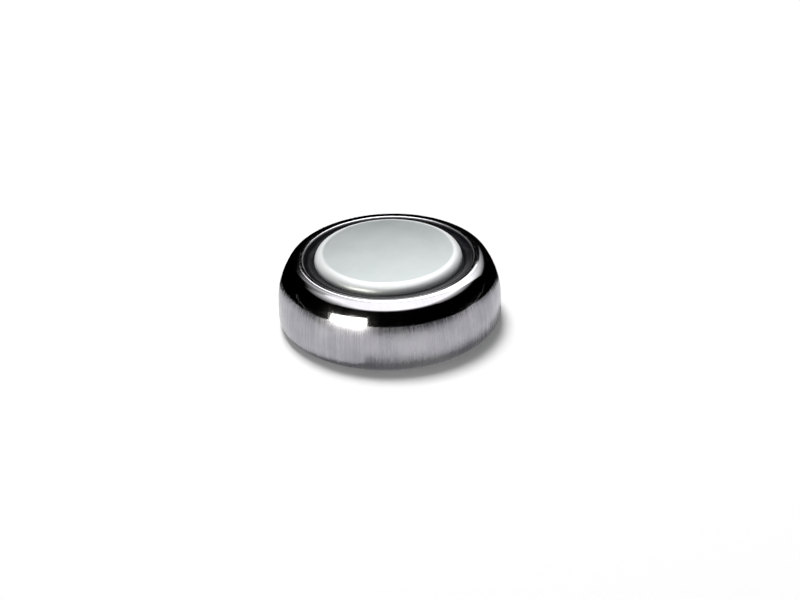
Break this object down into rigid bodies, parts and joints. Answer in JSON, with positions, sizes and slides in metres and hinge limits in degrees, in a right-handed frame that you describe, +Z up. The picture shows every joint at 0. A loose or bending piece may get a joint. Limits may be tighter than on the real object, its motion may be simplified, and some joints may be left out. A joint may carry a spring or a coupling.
{
  "type": "button cell battery",
  "caption": "Small round sealed cell: a rounded metal can rolled over a dark gasket ring around a flat raised metal cap, for watches and small devices.",
  "frame": {"origin": "centre of the positive can's base, on the plane that it stands on", "axes": "+Z up along the cell's axis of symmetry, from the positive base to the negative cap; X and Y are alike"},
  "size_m": [0.0116, 0.0116, 0.0041],
  "materials": {
    "nickel_plate": "bright nickel plate with faint draw lines",
    "satin_nickel": "fine satin nickel",
    "dark_nylon": "smooth moulded nylon",
    "pressed_oxide": "matte pressed powder",
    "membrane": "thin translucent film",
    "soaked_felt": "wet non-woven felt",
    "zinc_gel": "damp grey metal powder gel"
  },
  "bodies": {
    "root": {"positive_can": "nickel_plate", "sealing_gasket": "dark_nylon", "negative_cap": "satin_nickel", "cathode_pellet": "pressed_oxide", "cathode_sleeve": "nickel_plate", "barrier_film": "membrane", "absorbent_pad": "soaked_felt", "zinc_anode": "zinc_gel"}
  },
  "joints": []
}
